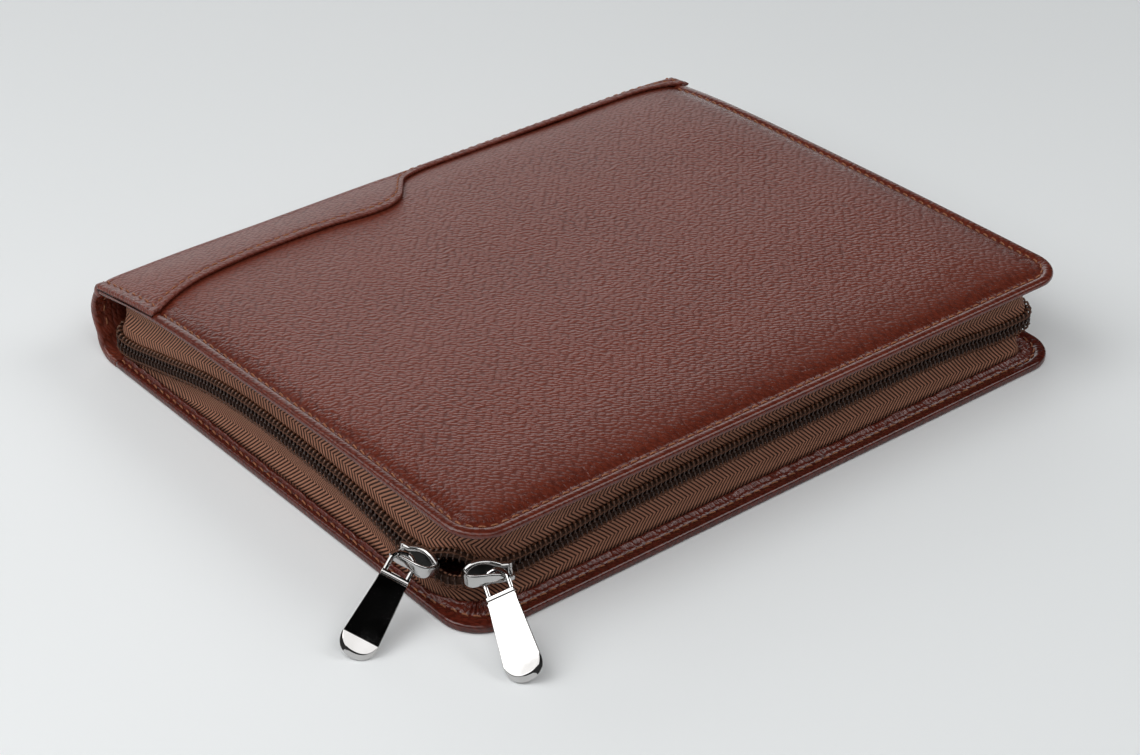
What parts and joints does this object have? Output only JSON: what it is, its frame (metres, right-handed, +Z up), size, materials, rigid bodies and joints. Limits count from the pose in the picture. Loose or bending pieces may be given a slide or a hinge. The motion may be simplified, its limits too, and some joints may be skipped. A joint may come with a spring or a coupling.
{
  "type": "tablet portfolio case",
  "caption": "Zip-around leather portfolio case for a tablet, closed and lying flat, with a padded front cover, a stitched spine overlay and metal pull tabs on the zip sliders.",
  "frame": {"origin": "middle of the back cover's underside, between spine and fore edge and between the near and far sides, on the table", "axes": "+X from the spine to the fore edge, +Y along the spine from the near side to the far side, +Z up out of the front cover"},
  "size_m": [0.2368, 0.2983, 0.0399],
  "materials": {
    "leather": "pebbled, semi-gloss",
    "zip_tape": "herringbone weave, matt",
    "zip_coil": "satin",
    "gunmetal": "polished dark nickel"
  },
  "bodies": {
    "case": {"front_cover": "leather", "back_cover": "leather", "spine_panel": "leather", "zip_tape_upper": "zip_tape", "zip_tape_lower": "zip_tape", "zip_coil_upper": "zip_coil", "zip_coil_lower": "zip_coil", "slider_left": "gunmetal", "slider_right": "gunmetal"},
    "left_pull": {"pull_tab_left": "gunmetal"},
    "right_pull": {"pull_tab_right": "gunmetal"}
  },
  "joints": [
    {"name": "left_pull_lift", "type": "hinge", "parent": "case", "child": "left_pull", "pos_m": [0.07625, -0.13657, 0.01688], "axis": [-0.9874, -0.1582, 0], "range_deg": [0, 80]},
    {"name": "right_pull_lift", "type": "hinge", "parent": "case", "child": "right_pull", "pos_m": [0.10074, -0.12027, 0.01742], "axis": [-0.4586, -0.8886, 0], "range_deg": [0, 80]}
  ]
}
